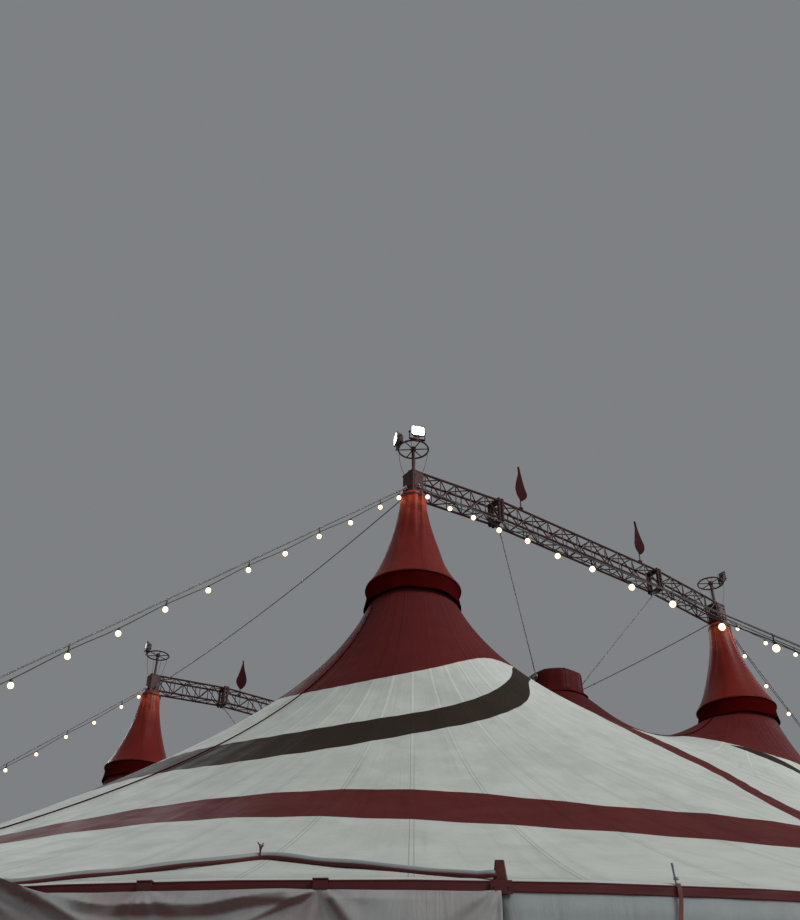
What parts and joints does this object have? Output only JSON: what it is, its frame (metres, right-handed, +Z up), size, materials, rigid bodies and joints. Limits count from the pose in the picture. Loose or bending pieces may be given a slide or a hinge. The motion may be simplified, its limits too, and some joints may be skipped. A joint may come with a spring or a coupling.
{
  "type": "circus big top tent",
  "caption": "Round circus big top with masts, red peak cones and lit mast guys, trusses with flags, roof vents, striped canvas, side walls and draped doorways.",
  "frame": {"origin": "on the ground at the centre of the ring", "axes": "+Z up, +X to the right along the trusses, -Y toward the front side"},
  "size_m": [36.69, 39.89, 13.7403],
  "materials": {
    "canvas": "coated white canvas with printed red and dark green stripes",
    "red_vinyl": "dark red coated sheet, slightly glossy",
    "red_paint": "dark red oxide paint",
    "wire": "galvanised wire rope and fittings",
    "lamp_black": "black powder coat",
    "wall_cloth": "grey-white wall canvas",
    "flag_cloth": "thin red flag cloth"
  },
  "bodies": {
    "tent": {"mast_front_left": "red_paint", "roof_front_left": "canvas", "peak_cone_front_left": "red_vinyl", "mast_guy_side_front_left": "wire", "mast_guy_end_front_left": "wire", "flag_front_left": "flag_cloth", "vent_cable_front_left": "wire", "truss_front_left": "red_paint", "mast_front_right": "red_paint", "roof_front_right": "canvas", "peak_cone_front_right": "red_vinyl", "mast_guy_side_front_right": "wire", "mast_guy_end_front_right": "wire", "flag_front_right": "flag_cloth", "vent_cable_front_right": "wire", "truss_front_right": "red_paint", "mast_rear_left": "red_paint", "roof_rear_left": "canvas", "peak_cone_rear_left": "red_vinyl", "mast_guy_side_rear_left": "wire", "mast_guy_end_rear_left": "wire", "flag_rear_left": "flag_cloth", "vent_cable_rear_left": "wire", "truss_rear_left": "red_paint", "mast_rear_right": "red_paint", "roof_rear_right": "canvas", "peak_cone_rear_right": "red_vinyl", "mast_guy_side_rear_right": "wire", "mast_guy_end_rear_right": "wire", "flag_rear_right": "flag_cloth", "vent_cable_rear_right": "wire", "truss_rear_right": "red_paint", "truss_front_middle": "red_paint", "vent_cap_front": "red_vinyl", "truss_rear_middle": "red_paint", "vent_cap_rear": "red_vinyl", "mast_tie_left": "wire", "mast_tie_right": "wire", "side_frame_front": "red_paint", "wall_front": "wall_cloth", "side_frame_left": "red_paint", "wall_left": "wall_cloth", "side_frame_rear": "red_paint", "wall_rear": "wall_cloth", "side_frame_right": "red_paint", "wall_right": "wall_cloth", "door_curtain_front_left": "wall_cloth", "door_curtain_front_right": "wall_cloth", "door_curtain_rear_left": "wall_cloth", "door_curtain_rear_right": "wall_cloth"},
    "lamp_front_left_a": {"floodlight_front_left_a": "lamp_black"},
    "lamp_front_left_b": {"floodlight_front_left_b": "lamp_black"},
    "lamp_front_right_a": {"floodlight_front_right_a": "lamp_black"},
    "lamp_rear_left_a": {"floodlight_rear_left_a": "lamp_black"},
    "lamp_rear_right_a": {"floodlight_rear_right_a": "lamp_black"}
  },
  "joints": [
    {"name": "tilt_front_left_a", "type": "hinge", "parent": "tent", "child": "lamp_front_left_a", "pos_m": [-4.61888, -5.64136, 13.29], "axis": [0.3746, 0.9272, 0], "range_deg": [-45, 45]},
    {"name": "tilt_front_left_b", "type": "hinge", "parent": "tent", "child": "lamp_front_left_b", "pos_m": [-4.45864, -6.01888, 13.29], "axis": [-0.9272, 0.3746, 0], "range_deg": [-45, 45]},
    {"name": "tilt_front_right_a", "type": "hinge", "parent": "tent", "child": "lamp_front_right_a", "pos_m": [4.60115, -5.895, 13.29], "axis": [-0.5, -0.866, 0], "range_deg": [-45, 45]},
    {"name": "tilt_rear_left_a", "type": "hinge", "parent": "tent", "child": "lamp_rear_left_a", "pos_m": [-4.63559, 5.80036, 13.29], "axis": [0.1736, 0.9848, 0], "range_deg": [-45, 45]},
    {"name": "tilt_rear_right_a", "type": "hinge", "parent": "tent", "child": "lamp_rear_right_a", "pos_m": [4.60115, 5.895, 13.29], "axis": [0.5, -0.866, 0], "range_deg": [-45, 45]}
  ]
}
